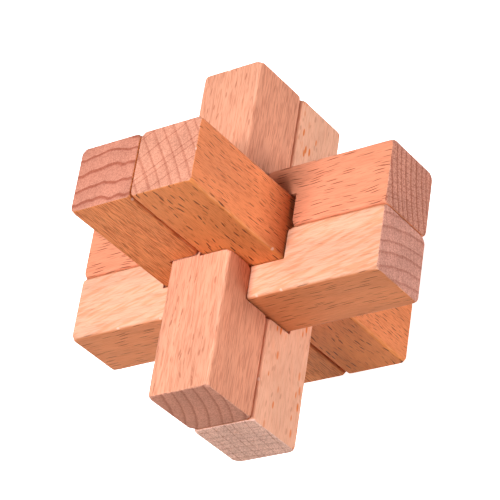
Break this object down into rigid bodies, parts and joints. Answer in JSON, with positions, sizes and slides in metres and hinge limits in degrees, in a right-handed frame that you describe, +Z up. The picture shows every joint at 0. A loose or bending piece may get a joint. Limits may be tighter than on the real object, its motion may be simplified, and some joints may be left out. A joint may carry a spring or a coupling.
{
  "type": "burr puzzle",
  "caption": "Interlocking wooden burr puzzle: square beech sticks crossing in three notched pairs, locked by a plain key stick that slides out",
  "frame": {"origin": "centre of the burr, where the three crossing pairs of sticks meet", "axes": "+Z up along the upright pair, +X along the front and back sticks towards the key's side, +Y along the upper and lower sticks towards the back"},
  "size_m": [0.076, 0.076, 0.076],
  "materials": {
    "beech_key": "fine sanded, bare",
    "beech_upright": "fine sanded, bare",
    "beech_front": "fine sanded, bare",
    "beech_back": "fine sanded, bare",
    "beech_upper": "fine sanded, bare",
    "beech_lower": "fine sanded, bare"
  },
  "bodies": {
    "lattice": {"upright_stick": "beech_upright", "front_stick": "beech_front", "back_stick": "beech_back", "upper_stick": "beech_upper", "lower_stick": "beech_lower"},
    "key": {"key_stick": "beech_key"}
  },
  "joints": [
    {"name": "key_slide", "type": "slide", "parent": "lattice", "child": "key", "axis": [0, 0, 1], "range_m": [0, 0.08]}
  ]
}
